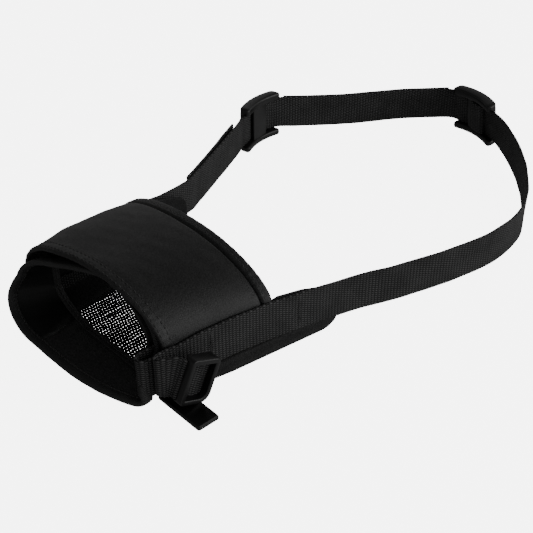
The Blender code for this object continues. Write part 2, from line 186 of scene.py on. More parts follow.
def evenly(points, count):
    """A closed line of points, spaced evenly."""
    run = lengths(shut(points))
    return at_distances(shut(points), run, np.linspace(0, run[-1], count + 1)[:-1])


def curve(points, detail=14):
    """A dense smooth line through rows of numbers."""
    p = np.array(points, float)
    p = np.vstack([2 * p[0] - p[1], p, 2 * p[-1] - p[-2]])
    t = np.arange(detail)[:, None] / detail
    rows = []
    for p0, p1, p2, p3 in zip(p, p[1:], p[2:], p[3:]):
        bend, twist = 2 * p0 - 5 * p1 + 4 * p2 - p3, 3 * p1 - p0 - 3 * p2 + p3
        rows.append(0.5 * (2 * p1 + (p2 - p0) * t + bend * t**2 + twist * t**3))
    return np.vstack(rows + [p[-2:-1]])


def spread(start, end, pitch, edge=0.6):
    """Places from start to end, closer together near both ends so that an edge can be rounded."""
    close = np.array([0, 0.08, 0.3, 0.62]) * edge
    count = max(2, round((end - start - 2 * edge) / pitch) + 1)
    return np.concatenate([start + close, np.linspace(start + edge, end - edge, count), end - close[::-1]])


def rounded(places, edge=0.6):
    """The share of the full thickness at each place, falling off roundly at both ends."""
    depth = np.minimum(places - places[0], places[-1] - places) / edge
    return np.sqrt(np.maximum(1 - (1 - np.clip(depth, 0, 1)) ** 2, 0.02))


def ripple(points, size, amount, seed):
    """A smooth, repeatable unevenness of the cloth, by place."""
    random = np.random.default_rng(seed)
    total = 0
    for _ in range(7):
        wave = random.normal(size=3) * 2 * np.pi / size
        total = total + np.sin(points @ wave + random.uniform(0, 6.28))
    return total * amount / 3


# -------- meshes


def add_object(name, data):
    obj = bpy.data.objects.new(name, data)
    bpy.context.scene.collection.objects.link(obj)
    return obj


def finish_mesh(name, vertices, faces, material, cloth=None, sharp=50):
    mesh = bpy.data.meshes.new(name)
    mesh.from_pydata((np.asarray(vertices) * MM).tolist(), [], faces)
    if cloth is not None:
        mesh.uv_layers.new(name=CLOTH).data.foreach_set("uv", np.asarray(cloth, float).ravel())
    mesh.shade_smooth()
    mesh.set_sharp_from_angle(angle=math.radians(sharp))
    mesh.materials.append(material)
    return add_object(name, mesh)


def tubes(name, loops, material, s, t, closed=False, sharp=50):
    """Closed skins over rows of cross-section loops: loops[tube, row, point].

    s and t are each row's and each point's place in the cloth. A closed tube's last row joins its first, and
    an open one's ends are capped between each loop's two halves.
    """
    number, rows, count = loops.shape[:3]
    spans = rows if closed else rows - 1
    s = np.append(s, 2 * s[-1] - s[-2])
    t = np.append(t, t[0] if len(t) == count else t[-1])[: count + 1]
    i, k = np.meshgrid(np.arange(spans), np.arange(count), indexing="ij")
    corners = [(i, k), (i + 1, k), (i + 1, k + 1), (i, k + 1)]
    quads = np.stack([(a % rows) * count + b % count for a, b in corners], -1).reshape(-1, 4)
    cloth = np.stack([np.stack([t[b], s[a]], -1) for a, b in corners], -2).reshape(-1, 4, 2)
    if not closed:
        j = np.arange(count // 2 - 1)
        cap = np.stack([j, j + 1, count - 2 - j, count - 1 - j], -1)
        for row, ring in ((0, cap), (rows - 1, cap[:, ::-1])):
            quads = np.vstack([quads, ring + row * count])
            cloth = np.vstack([cloth, np.stack([t[ring], np.full(ring.shape, s[row])], -1)])
    points = loops.reshape(number, rows * count, 3)
    a, b, c = (points[0][quads[:, n]] - points[0].mean(0) for n in range(3))
    if np.einsum("ij,ij->", a, np.cross(b, c)) < 0:
        quads, cloth = quads[:, ::-1], cloth[:, ::-1]
    faces = (quads[None] + np.arange(number)[:, None, None] * rows * count).reshape(-1, 4)
    cloth = np.tile(cloth, (number, 1, 1))
    return finish_mesh(name, points.reshape(-1, 3), faces.tolist(), material, cloth, sharp)


def skin_both(middle, thickness, lift=0.0, closed=False):
    """Cross-section loops for a sheet: out over one face and back over the other."""
    if closed:
        along = np.roll(middle, -1, 0) - np.roll(middle, 1, 0)
    else:
        along = np.gradient(middle, axis=0)
    normal = unit(np.cross(along, np.gradient(middle, axis=1)))
    half = np.broadcast_to(np.asarray(thickness) / 2, middle.shape[:2])[..., None]
    raised = np.broadcast_to(np.asarray(lift), middle.shape[:2])[..., None]
    outer = middle + normal * (raised + half)
    inner = middle + normal * (raised - half)
    return np.concatenate([outer, inner[:, ::-1]], 1)


def sheet(name, middle, thickness, material, lift=0.0, closed=False):
    """A piece of fabric with thickness round a grid of points, whose rows run along s and columns along t."""
    s, t = lengths(middle[:, middle.shape[1] // 2]), lengths(middle[middle.shape[0] // 2])
    loops = skin_both(middle, thickness, lift, closed)
    return tubes(name, loops[None], material, s, there_and_back(t), closed)


def stitches(name, path, normals, pitch=2.5, length=1.9, radius=0.24):
    """Thread stitches along a line of points, each a short arch that dips into the cloth at both ends."""
    run = lengths(path)
    count = int(run[-1] / pitch)
    middles = (np.arange(count) + 0.5) * run[-1] / count
    share = np.array([-0.5, -0.34, 0, 0.34, 0.5])
    girth = np.array([0.35, 0.85, 1.0, 0.85, 0.35]) * radius
    height = np.array([-0.9, 0.1, 0.45, 0.1, -0.9]) * radius + 0.05
    places = middles[:, None] + share * length
    centres = at_distances(path, run, places.ravel()).reshape(count, 5, 3)
    up = unit(at_distances(normals, run, places.ravel())).reshape(count, 5, 3)
    side = unit(np.cross(np.gradient(centres, axis=1), up))
    angles = (np.arange(6) + 0.5) * np.pi / 3
    ring = side[:, :, None] * np.cos(angles)[:, None] + up[:, :, None] * np.sin(angles)[:, None]
    loops = (centres + up * height[:, None])[:, :, None] + ring * girth[:, None, None]
    return tubes(name, loops, THREAD, np.arange(5) * 0.4, np.arange(6) * 0.2, sharp=180)


def there_and_back(t):
    """The places across a sheet over one face, and back over the other."""
    return np.concatenate([t, t[::-1]])


def line_on(surface, u, v):
    """Points of a surface along a line, and the surface's normals there."""
    u, v = np.broadcast_arrays(np.asarray(u, float), np.asarray(v, float))
    point, d = surface(u, v), 0.001
    normal = np.cross(surface(u, v + d) - point, surface(u + d, v) - point)
    return point, unit(normal)


# -------- materials


class Nodes:
    """Short ways to add shader nodes to one material."""

    def __init__(self, name):
        self.material = bpy.data.materials.new(name)
        self.material.use_nodes = True
        self.tree = self.material.node_tree
        self.shader = self.tree.nodes["Principled BSDF"]

    def add(self, kind, **settings):
        node = self.tree.nodes.new(kind)
        for key, value in settings.items():
            setattr(node, key, value)
        return node

    def feed(self, value, socket):
        if isinstance(value, bpy.types.NodeSocket):
            self.tree.links.new(value, socket)
        else:
            socket.default_value = value

    def math(self, operation, *values):
        node = self.add("ShaderNodeMath", operation=operation)
        for value, socket in zip(values, node.inputs):
            self.feed(value, socket)
        return node.outputs[0]

    def arches(self, value):
        """A row of round arches, one for each whole step of a value."""
        return self.math("ABSOLUTE", self.math("SINE", self.math("MULTIPLY", value, math.pi)))

    def cloth(self):
        """The (across, along) place in the fabric, in millimetres."""
        place = self.add("ShaderNodeUVMap", uv_map=CLOTH)
        split = self.add("ShaderNodeSeparateXYZ")
        self.feed(place.outputs[0], split.inputs[0])
        return split.outputs[0], split.outputs[1]

    def staggered(self, row_pitch, pitch):
        """Arches across the fabric's rows and along them, each row half a step on from the last."""
        across, along = self.cloth()
        rows = self.math("DIVIDE", along, row_pitch)
        odd = self.math("MODULO", self.math("FLOOR", rows), 2.0)
        columns = self.math("ADD", self.math("DIVIDE", across, pitch), self.math("MULTIPLY", odd, 0.5))
        return self.arches(rows), self.arches(columns)

    def noise(self, scale, detail=3.0, rough=0.55, stretch=None):
        """Smooth noise by place in the object, about 1/scale metres across."""
        node = self.add("ShaderNodeTexNoise")
        place = self.add("ShaderNodeTexCoord").outputs["Object"]
        if stretch:
            mapping = self.add("ShaderNodeMapping")
            mapping.inputs["Scale"].default_value = stretch
            self.feed(place, mapping.inputs["Vector"])
            place = mapping.outputs[0]
        self.feed(place, node.inputs["Vector"])
        for key, value in (("Scale", scale), ("Detail", detail), ("Roughness", rough)):
            node.inputs[key].default_value = value
        return node.outputs["Fac"]

    def between(self, share, low, high, start=0.0, end=1.0):
        """low where share is start, high where it is end."""
        node = self.add("ShaderNodeMapRange")
        for value, socket in zip((share, start, end, low, high), node.inputs):
            self.feed(value, socket)
        return node.outputs[0]

    def varied(self, noise, low, high):
        """low to high over the range that noise mostly keeps to."""
        return self.between(noise, low, high, 0.3, 0.7)

    def grey(self, share, low, high):
        """A colour between two greys."""
        node = self.add("ShaderNodeMix", data_type="RGBA")
        a, b = ([socket for socket in node.inputs if socket.type == "RGBA"])[:2]
        self.feed(share, node.inputs[0])
        a.default_value, b.default_value = (low, low, low, 1), (high, high, high, 1)
        return [socket for socket in node.outputs if socket.type == "RGBA"][0]

    def bumped(self, *layers):
        """Bump layers of (height, distance in metres, strength), the first one lowest."""
        normal = None
        for height, distance, strength in layers:
            node = self.add("ShaderNodeBump")
            node.inputs["Strength"].default_value = strength
            node.inputs["Distance"].default_value = distance
            self.feed(height, node.inputs["Height"])
            if normal is not None:
                self.feed(normal, node.inputs["Normal"])
            normal = node.outputs[0]
        self.feed(normal, self.shader.inputs["Normal"])

    def set(self, **values):
        for key, value in values.items():
            self.feed(value, self.shader.inputs[key.replace("_", " ")])


def make_webbing():
    """Plain-woven nylon webbing: ribs across it, each a row of round yarn floats, staggered."""
    m = Nodes("webbing_black")
    rib, dot = m.staggered(RIB_PITCH, DOT_PITCH)
    rib = m.math("ADD", m.math("MULTIPLY", rib, 0.55), 0.45)
    float_height = m.math("POWER", m.math("MULTIPLY", rib, dot), 1.2)
    fuzz = m.noise(2600, 2, 0.6)
    patch = m.noise(90, 3, 0.5)
    # The base colour follows the float height: painted highlight on the float tops and painted shade in the
    # gaps between them, varied by a random tone in patches.
    shade = m.math("MULTIPLY", float_height, m.varied(patch, 0.75, 1.25))
    m.set(
        Base_Color=m.grey(shade, 0.001, 0.105),
        Roughness=m.varied(fuzz, 0.5, 0.72),
        Specular_IOR_Level=0.16,
        Sheen_Weight=0.03,
        Sheen_Roughness=0.4,
    )
    m.bumped((float_height, 0.0006, 1.0), (fuzz, 0.0001, 0.35))
    return m.material


def make_satin(name, shine, painted_shade_x=None):
    """Coated polyester with a fine even weave and a soft shine.

    Where the last argument, an x in metres, is given, the colour is painted paler on the left of that x and
    darker on its right: painted light and painted shade.
    """
    m = Nodes(name)
    across, along = m.cloth()
    warp = m.math("SINE", m.math("MULTIPLY", across, 2 * math.pi / SATIN_PITCH))
    weft = m.math("SINE", m.math("MULTIPLY", along, 2 * math.pi / SATIN_PITCH))
    weave = m.math("ADD", m.math("MULTIPLY", m.math("MULTIPLY", warp, weft), 0.5), 0.5)
    cloud = m.noise(45, 4, 0.6)
    grain = m.noise(1500, 3, 0.7)
    m.set(
        Base_Color=m.grey(m.between(grain, 0.0, 1.0, 0.35, 0.65), 0.001, 0.02),
        Roughness=m.math("ADD", m.varied(cloud, 0.44, 0.54), m.between(grain, -0.05, 0.05)),
        Specular_IOR_Level=shine,
        Sheen_Weight=0.02,
        Sheen_Roughness=0.35,
    )
    if painted_shade_x is not None:
        # Painted light and shade by place: paler left of the given x, darker right of it
        split = m.add("ShaderNodeSeparateXYZ")
        m.feed(m.add("ShaderNodeTexCoord").outputs["Object"], split.inputs[0])
        painted_side_shade = m.between(split.outputs[0], 0.1, 1.0, painted_shade_x - 0.0005, painted_shade_x + 0.0005)
        shade = m.math("MULTIPLY", painted_side_shade, m.between(grain, 0.3, 1.0, 0.35, 0.65))
        m.set(Base_Color=m.grey(shade, 0.001, 0.06))
    m.bumped((cloud, 0.001, 0.15), (weave, 0.00008, 0.3), (grain, 0.0005, 0.35))
    return m.material


def make_binding():
    """The folded tape of hems and rims: satin's thread in a closer, duller rib."""
    m = Nodes("binding_tape")
    _, along = m.cloth()
    rib = m.math("ABSOLUTE", m.math("SINE", m.math("MULTIPLY", along, math.pi / BINDING_PITCH)))
    cloud = m.noise(70, 4, 0.6)
    grain = m.noise(1800, 3, 0.7)
    m.set(
        Base_Color=m.grey(m.math("MULTIPLY", grain, rib), 0.006, 0.08),
        Roughness=m.varied(cloud, 0.5, 0.64),
        Specular_IOR_Level=0.3,
        Sheen_Weight=0.03,
        Sheen_Roughness=0.4,
    )
    m.bumped((cloud, 0.001, 0.3), (rib, 0.00015, 0.4), (grain, 0.0004, 0.4))
    return m.material


def make_knit(name, low, high, pitch):
    """A coarse, dark knitted texture, as of the lining and the net's yarn."""
    m = Nodes(name)
    loop = m.math("MULTIPLY", *m.staggered(pitch, pitch))
    grain = m.noise(1600, 3, 0.7)
    m.set(
        Base_Color=m.grey(m.math("MULTIPLY", loop, grain), low, high),
        Roughness=m.varied(grain, 0.6, 0.85),
        Specular_IOR_Level=0.2,
        Sheen_Weight=0.02,
        Sheen_Roughness=0.45,
    )
    m.bumped((loop, 0.0004, 0.8), (grain, 0.0001, 0.35))
    return m.material


def make_thread():
    """Twisted sewing thread."""
    m = Nodes("sewing_thread")
    across, along = m.cloth()
    twist = m.math("SINE", m.math("MULTIPLY", m.math("ADD", across, along), 2 * math.pi / THREAD_TWIST))
    fuzz = m.noise(3000, 2, 0.6)
    m.set(
        Base_Color=m.grey(fuzz, 0.03, 0.06),
        Roughness=m.varied(fuzz, 0.45, 0.6),
        Sheen_Weight=0.04,
        Sheen_Roughness=0.4,
    )
    m.bumped((twist, 0.00008, 0.5))
    return m.material


def make_plastic(name, low, high, roughness):
    """Moulded acetal: a faint grain, and duller, paler scuffs in patches."""
    m = Nodes(name)
    grain = m.noise(2400, 2, 0.5)
    patch = m.noise(140, 4, 0.6)
    scuff = m.noise(420, 5, 0.75, (1, 6, 1))
    m.set(
        Base_Color=m.grey(m.math("MULTIPLY", patch, scuff), low, high),
        Roughness=m.math("ADD", m.varied(patch, roughness - 0.05, roughness + 0.08),
                         m.between(scuff, -0.03, 0.05, 0.4, 0.7)),
        Specular_IOR_Level=0.55,
    )
    m.bumped((patch, 0.0006, 0.15), (grain, 0.00008, 0.35))
    return m.material


def make_floor():
    """A pale table, lit from below so that it shows evenly bright."""
    m = Nodes("pale_table")
    tone = m.noise(3, 2, 0.5)
    m.set(
        Base_Color=m.grey(tone, 0.88, 0.92),
        Roughness=0.9,
        Specular_IOR_Level=0.1,
        Emission_Color=(1.0, 1.0, 1.0, 1.0),
        Emission_Strength=FLOOR_GLOW,
    )
    return m.material


WEBBING = make_webbing()
SATIN = make_satin("satin_shell", 0.5)
WING_SATIN = make_satin("satin_wing", 0.2)
# The band is painted darker right of x = -22 mm, on its far side, and paler left of it: painted shade and
# painted light.
BAND_SATIN = make_satin("satin_band", 0.3, -0.022)
BINDING = make_binding()
LINING = make_knit("spacer_lining", 0.003, 0.016, 1.3)
NET_YARN = make_knit("net_yarn", 0.001, 0.08, 1.5)
THREAD = make_thread()
PLASTIC = make_plastic("moulded_slide", 0.006, 0.012, 0.33)
TAB_PLASTIC = make_plastic("moulded_tab", 0.004, 0.008, 0.3)


def piece(obj, body, slot, *nodes):
    """obj rides on a body and stands for these CAD nodes, which it hides. slot is not used."""
    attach(obj, body)
    if nodes:
        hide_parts(*nodes)
    return obj


# -------- saddle


def half_width(y):
    return HALF_WIDTH + FLARE * y


def saddle(u, y):
    """The saddle's middle surface: u runs over the nose from the left edge, 0, to the right one, 1."""
    share = (y - SADDLE_FRONT) / (SADDLE_REAR - SADDLE_FRONT)
    top = SADDLE_FRONT_TOP + (SADDLE_REAR_TOP - SADDLE_FRONT_TOP) * share
    full = knots(share, ((0, 1.0), (0.3, 0.76), (0.7, 0.78), (1, 0.94)))
    angle = np.pi * np.clip(u, 0, 1)
    across, rise = np.cos(angle), np.maximum(np.sin(angle), 0)
    right = across < 0
    x = np.where(right, -(np.abs(across) ** full), across)
    z = np.where(right, rise**full, rise**ARCH_POWER)
    pulled = SADDLE_SKEW * x + SADDLE_LEFT_PULL * np.maximum(x, 0) ** 2
    pulled = pulled - SADDLE_RIGHT_DIP * bump(x, -0.4, 0.4)
    skewed = y + (1 - share) * half_width(y) * pulled
    width, height = half_width(skewed) - SADDLE_INSET, top - SADDLE_INSET - SADDLE_BASE
    return np.stack([width * x, skewed + 0 * u, SADDLE_BASE + height * z], -1)


def saddle_lift(u, y):
    """Hems, sewn grooves and the soft unevenness of the panel between them."""
    front, rear = y - SADDLE_FRONT, SADDLE_REAR - y
    hems = 0.15 * (1 - step(FRONT_HEM - 1.2, FRONT_HEM, front))
    hems = hems + 0.35 * (1 - step(REAR_HEM - 1.0, REAR_HEM, rear))
    grooves = -0.28 * bump(front, FRONT_HEM - 1.0, 0.9) - 1.1 * bump(rear, REAR_HEM + 0.2, 0.55)
    grooves -= 0.25 * bump(rear, REAR_HEM - 2.2, 0.6)
    inside = step(FRONT_HEM, FRONT_HEM + 9, front) * step(REAR_HEM, REAR_HEM + 9, rear)
    soft = 0.7 * bump(u, 0.24, 0.13) * bump(y, 46, 20) - 0.6 * bump(u, 0.42, 0.12) * bump(y, 34, 18)
    soft += 0.3 * bump(u, 0.64, 0.12) * bump(y, 44, 18)
    return hems + grooves + inside * soft


def build_saddle():
    u = np.linspace(0, 1, 150)
    y = spread(SADDLE_FRONT, SADDLE_REAR, 0.9, 0.9)
    middle = saddle(u[:, None], y[None])
    lift = saddle_lift(u[:, None], y[None]) + ripple(middle, 30, 0.07, 3)
    crimps = ripple(middle, 5, 0.1, 4) * np.maximum(bump(y, SADDLE_FRONT, 7), bump(y, SADDLE_REAR, 9))
    hems = (y < SADDLE_FRONT + FRONT_HEM) | (y > SADDLE_REAR - REAR_HEM)
    thickness = rounded(y, 0.9) * SADDLE_THICK * np.where(hems, 1.1, 1.0)
    shell = sheet("saddle_shell", middle, np.broadcast_to(thickness, lift.shape), SATIN, -lift - crimps)
    piece(shell, "muzzle", "coated_fabric", "nose_saddle", "saddle_front_hem", "saddle_rear_hem")

    u = np.linspace(0.015, 0.985, 200)
    for name, place in (
        ("stitch_saddle_edge", SADDLE_FRONT + 1.6),
        ("stitch_saddle_front", SADDLE_FRONT + FRONT_HEM - 1.0),
        ("stitch_saddle_rear", SADDLE_REAR - REAR_HEM + 2.2),
    ):
        path, normals = line_on(saddle, u, place)
        face = SADDLE_THICK * 0.55 + saddle_lift(u, place) + ripple(path, 30, 0.07, 3)
        piece(stitches(name, path + normals * face[:, None], normals), "muzzle", "thread")

    y = spread(20.5, SADDLE_REAR - REAR_HEM, 2.5, 0.4)
    u = np.linspace(0, 1, 90)
    middle, normals = line_on(saddle, u[:, None], y[None])
    lining = sheet("saddle_lining_knit", middle - normals * 2.0, 0.9, LINING, ripple(middle, 22, 0.15, 5))
    piece(lining, "muzzle", "binding", "saddle_lining")


# -------- nose opening


def ring_outline(share):
    """The chin band's closed (x, z) outline: 0 at the rim, 1 at its rear seam.

    It is flat below, close-cornered on the left and swells out on the right, where its rear edge is creased.
    """
    half = BAND_FRONT_HALF + (BAND_REAR_HALF - BAND_FRONT_HALF) * share
    bulge, corner, base = BAND_BULGE * (1 - share), 4.5, 24.6
    raised = 4.9 * (1 - 0.3 * share)
    turn = np.radians(np.linspace(-90, 0, 12))
    near = np.stack([half - corner + corner * np.cos(turn), corner + corner * np.sin(turn)], -1)
    arch = np.pi * np.linspace(0, 1, 70)
    lift = raised * step(-28, 18, half * np.cos(arch))
    top = np.stack([half * np.cos(arch), base + (BAND_TOP - base + lift) * np.sin(arch) ** ARCH_POWER], -1)
    side = np.array([[-half - 0.55 * bulge, base - 4], [-half - 0.9 * bulge, base - 8]])
    wide, high = 24, 14
    turn = np.radians(np.linspace(180, 270, 24))
    round_side = np.stack([-half - bulge + wide + wide * np.cos(turn), high + high * np.sin(turn)], -1)
    t = np.linspace(0, 1, 24)[:, None]
    foot = np.array([(-half - bulge, high), (-half - bulge + 4, 4.5), (-half - bulge + wide, 0)])
    creased = foot[0] * (1 - t) ** 2 + foot[1] * 2 * t * (1 - t) + foot[2] * t**2
    round_side = round_side * (1 - share) + creased * share
    points = np.vstack([near, [[half, 9.0], [half, 14.0]], top, side, round_side, [[0.0, 0.0]]])
    points[:, 0] += 3.3 * (1 - share) * step(20, 44, points[:, 0]) * (1 - step(3, 14, points[:, 1]))
    points[:, 0] -= 1.2 * (1 - share) * step(30, 43, points[:, 0]) * step(22, 28, points[:, 1])
    return evenly(points, RING_POINTS)


def rim_y(x, z):
    """Where the opening's rim lies: forward at the chin, further back at the top and on the left."""
    pull = np.clip((x + 10) / 62, 0, 1) ** 2.6
    tucked = 6.6 * step(-22, 28, x) * step(6, 26, z)
    tucked = tucked + 4.5 * step(2, 40, x) * step(10, 26, z)
    return RIM_CHIN + RIM_LEAN * z * (1 - pull) + RIM_PULL * pull + tucked


def ring_normals(outline):
    """Outward (x, z) directions of a closed outline that runs anticlockwise, seen from the nose."""
    along = unit(np.roll(outline, -1, 0) - np.roll(outline, 1, 0))
    return np.stack([along[:, 1], -along[:, 0]], -1)


def ring_normals_3d(share):
    """The outward directions round the band at a share of its depth."""
    flat = ring_normals(ring_outline(share))
    return np.stack([flat[:, 0], 0 * flat[:, 0], flat[:, 1]], -1)


def ring_rows(share, inset, back):
    """A closed line round the band at a share of its depth, moved inwards and back."""
    outline = ring_outline(share)
    moved = outline - ring_normals(outline) * inset
    y = np.minimum(rim_y(*outline.T), BAND_REAR - 3) * (1 - share) + BAND_REAR * share + back
    return np.stack([moved[:, 0], y, moved[:, 1]], -1)


def build_opening():
    # The rim: a soft roll of binding, folded over the front edge
    angles = (np.arange(20) + 0.5) * np.pi / 10
    depth = np.sign(np.cos(angles)) * np.abs(np.cos(angles)) ** 0.75 * RIM_DEPTH / 2
    height = np.sign(np.sin(angles)) * np.abs(np.sin(angles)) ** 0.75 * RIM_THICK / 2
    centre, normals = ring_rows(0, RIM_THICK / 2, RIM_DEPTH / 2), ring_normals_3d(0)
    back = np.array([0.0, 1.0, 0.0])
    swell = 1 + ripple(centre, 17, 0.07, 8)[:, None, None]
    loops = centre[:, None] + normals[:, None] * height[:, None] * swell + back * depth[:, None]
    loops += normals[:, None] * ripple(loops, 9, 0.08, 9)[..., None]
    s = lengths(centre)
    rim = tubes("rim_roll", loops[None], BINDING, s, np.arange(21) * 0.6, closed=True)
    piece(rim, "muzzle", "coated_fabric", "front_rim_binding")

    inner = ring_rows(0, RIM_THICK + 0.02, RIM_DEPTH - 1.3)
    piece(stitches("stitch_rim_inside", shut(inner), -shut(normals), pitch=2.3), "muzzle", "thread")

    # The band behind it
    share = np.array([0, 0.08, 0.2, 0.35, 0.5, 0.65, 0.8, 0.9, 0.96, 1])
    backs = RIM_DEPTH * (1 - share) - 0.8 * (1 - share)
    rows = np.stack([ring_rows(a, BAND_THICK / 2 + 0.2, b) for a, b in zip(share, backs)], 1)
    below = rows[..., 2] < 12
    place = -rows[..., 0] - 2.4 * share
    pleat = step(21.4, 22.6, place) * (1 - step(25, 40, place)) - 0.5 * bump(place, 20.6, 0.9)
    rows[..., 2] += 1.8 * pleat * below * np.sin(np.pi * np.clip(share, 0, 0.95)) ** 0.6
    band = sheet("band_wall", rows, BAND_THICK, BAND_SATIN, ripple(rows, 14, 0.12, 12), closed=True)
    piece(band, "muzzle", "coated_fabric", "chin_band")

    # The turned and sewn edge along the back of the band
    places = spread(-3.4, 0.2, 0.8, 0.4)
    rows = np.stack([ring_rows(1, BAND_THICK + 0.5, b) for b in places], 1)
    thickness = 0.9 * rounded(places, 0.4)
    tape = sheet("band_rear_tape", rows, thickness, BINDING, ripple(rows, 8, 0.08, 13), closed=True)
    piece(tape, "muzzle", "binding", "band_seam_tape")
    line, normals = shut(ring_rows(1, BAND_THICK + 1.0, -1.6)), shut(ring_normals_3d(1))
    piece(stitches("stitch_band_rear", line, -normals, pitch=2.2, radius=0.2), "muzzle", "thread")


# -------- net


def net(s, y):
    """The net's surface: s runs under the jaw from the left side to the right one, in mm from the middle."""
    radius = NET_CORNER + NET_LEFT_CORNER * (np.asarray(s) < 0) * step(12, 22, y)
    flat = half_width(y) - NET_INSET - radius
    turn = radius * np.pi / 2
    a = np.abs(s)
    angle = np.clip((a - flat) / radius, 0, np.pi / 2)
    x = np.minimum(a, flat) + radius * np.sin(angle)
    z = NET_FLOOR + radius * (1 - np.cos(angle)) + np.maximum(a - flat - turn, 0)
    # Under the jaw the net sags between its sewn edges and lies a little proud of the floor
    z = z + 0.35 * np.sin(s * 0.11 + y * 0.05) ** 2 * (a < flat)
    return np.stack([-np.sign(s) * x, y + 0 * s, z], -1)


def build_net():
    reach = half_width(NET_FRONT) - NET_INSET + 12
    columns, rows = int(2 * reach / NET_PITCH), int((NET_REAR - NET_FRONT - 3) / NET_ROW)
    random = np.random.default_rng(17)
    corners, faces, index = [], [], {}
    turns = np.radians(60 * np.arange(6))
    shape = np.stack([np.cos(turns) * NET_PITCH / 1.5, np.sin(turns) * NET_ROW / math.sqrt(3)], -1)
    hole = np.stack([np.cos(turns), np.sin(turns)], -1) * NET_HOLE
    for c in range(columns):
        open_row = random.uniform(0.65, 1.25)
        for r in range(rows):
            centre = np.array([c * NET_PITCH - reach, NET_FRONT + (r + 0.5 * (c % 2)) * NET_ROW])
            outer, inner = [], []
            for spot in centre + shape:
                key = (round(spot[0] * 20), round(spot[1] * 20))
                if key not in index:
                    index[key] = len(corners)
                    corners.append(spot)
                outer.append(index[key])
            for spot in centre + hole * open_row * random.uniform(0.6, 1.4, (1, 2)):
                inner.append(len(corners))
                corners.append(spot)
            faces += [[outer[k], outer[(k + 1) % 6], inner[(k + 1) % 6], inner[k]] for k in range(6)]
    flat = np.array(corners)
    pulled = flat + 0.2 * np.stack([np.sin(flat[:, 1] * 0.9), np.sin(flat[:, 0] * 0.7 + 1)], -1)
    points = net(pulled[:, 0], pulled[:, 1])
    cloth = [flat[i] for face in faces for i in face]
    obj = finish_mesh("chin_net_mesh", points, faces, NET_YARN, cloth, sharp=180)
    thick = obj.modifiers.new("yarn", "SOLIDIFY")
    thick.thickness, thick.offset = NET_STRAND * MM, 0
    piece(obj, "muzzle", "net", "chin_net")

    places = spread(NET_REAR - 4.5, NET_REAR + 0.8, 1.0, 0.5)
    s = np.linspace(-reach - 9, reach + 9, 220)
    middle = net(s[:, None], places[None])
    tape = sheet("net_rear_tape", middle, 2.0 * rounded(places, 0.5), BINDING, ripple(middle, 9, 0.1, 21))
    piece(tape, "muzzle", "binding", "net_rear_binding")


# -------- wings


def build_wing(side):
    """The side panel behind a strap. Its folded hem stands on the floor."""
    name = "left" if side > 0 else "right"
    y = spread(17.4, 109.5, 1.5, 1.0)
    share = spread(0, 1, 0.035, 0.05)
    top, foot = knots(y, WING_TOP), 0.25 + knots(y, WING_FOOT)
    z = foot[:, None] + (top - foot)[:, None] * share
    hem = 1 - step(4.6, 6.4, z)
    # The left hem kicks outwards at its foot, and the hidden right one turns in under the net
    kick = knots(y, WING_FLARE) * LEFT_KICK if side > 0 else knots(y, WING_TURNED_IN)
    x = half_width(y)[:, None] - 1.05 + kick[:, None] * (1 - step(-3.5, 6.4, z))
    middle = np.stack([side * x + 0 * z, y[:, None] + 0 * z, z], -1)
    lift = 0.25 * hem - 0.45 * bump(z, 5.9, 0.6) + ripple(middle, 15, 0.16, 31)
    thickness = rounded(share, 0.05) * (1.5 + 0.9 * hem) * np.minimum(rounded(y, 1.0)[:, None] + 0.1, 1)
    panel = sheet("wing_panel_" + name, middle, thickness, WING_SATIN, side * lift)
    piece(panel, "muzzle", "coated_fabric", "wing_" + name, "wing_hem_" + name)
    path = np.stack([side * (half_width(y) + 0.02), y, 0 * y + 4.4], -1)[4:-8]
    normals = np.broadcast_to([side * 1.0, 0, 0], path.shape)
    piece(stitches("stitch_wing_" + name, path, normals, pitch=2.6), "muzzle", "thread")


# -------- webbing


def webbing(name, centres, tops, widths, thick=WEB_THICK, seed=1):
    """A length of webbing along its centre line, with the direction of its upper edge at each point."""
    run = lengths(centres)
    s = spread(0, run[-1], WEB_STEP, 0.5)
    centre, top = at_distances(centres, run, s), unit(at_distances(tops, run, s))
    width = np.interp(s, run, widths)
    t = spread(0, WEB_WIDTH, 0.9, 0.5) - WEB_WIDTH / 2
    rib = np.abs(np.sin(np.pi * s / RIB_PITCH)) ** 0.7
    scallop = np.abs(t) > WEB_WIDTH / 2 - 0.4
    across = t * (width / WEB_WIDTH)[:, None] + np.sign(t) * scallop * 0.16 * rib[:, None]
    middle = centre[:, None] + top[:, None] * across[..., None]
    edge = rounded(t, 0.5)
    thickness = thick * edge * (0.92 + 0.08 * rib[:, None]) * np.minimum(rounded(s, 0.5)[:, None] + 0.1, 1)
    cup = 0.22 * (t / 10) ** 2
    lift = ripple(middle, 24, 0.12, seed) + cup
    return tubes(name, skin_both(middle, thickness, lift)[None], WEBBING, s, there_and_back(t), sharp=60)


def standing(route, name, seed=1, outwards=None):
    """Webbing on its edge, along a route of (x, y, height of its lower edge, inward lean in degrees).

    outwards moves it sideways, by (share of the length, mm) pairs.
    """
    dense = curve(route)
    along = unit(np.gradient(dense[:, :2], axis=0))
    outward = np.stack([along[:, 1], -along[:, 0], 0 * along[:, 0]], -1)
    lean = np.radians(dense[:, 3])[:, None]
    top = UP * np.cos(lean) - outward * np.sin(lean)
    centre = dense[:, :3] + top * WEB_WIDTH / 2
    if outwards is not None:
        share = lengths(dense[:, :2]) / lengths(dense[:, :2])[-1]
        centre = centre + outward * knots(share, outwards)[:, None]
    return webbing(name, centre, top, np.full(len(centre), WEB_WIDTH), seed=seed)


LEFT_SLIDE = np.array([[0.0, 306.8], [-28.5, 313.0]])
RIGHT_SLIDE = np.array([[-103.6, 219.0], [-97.4, 187.2]])


def slide_middle(ends):
    """The point half-way through a slide, where the webbing bows outwards."""
    along = unit(ends[1] - ends[0])
    return ends.mean(0) + np.array([along[1], -along[0]]) * SLIDE_BOW


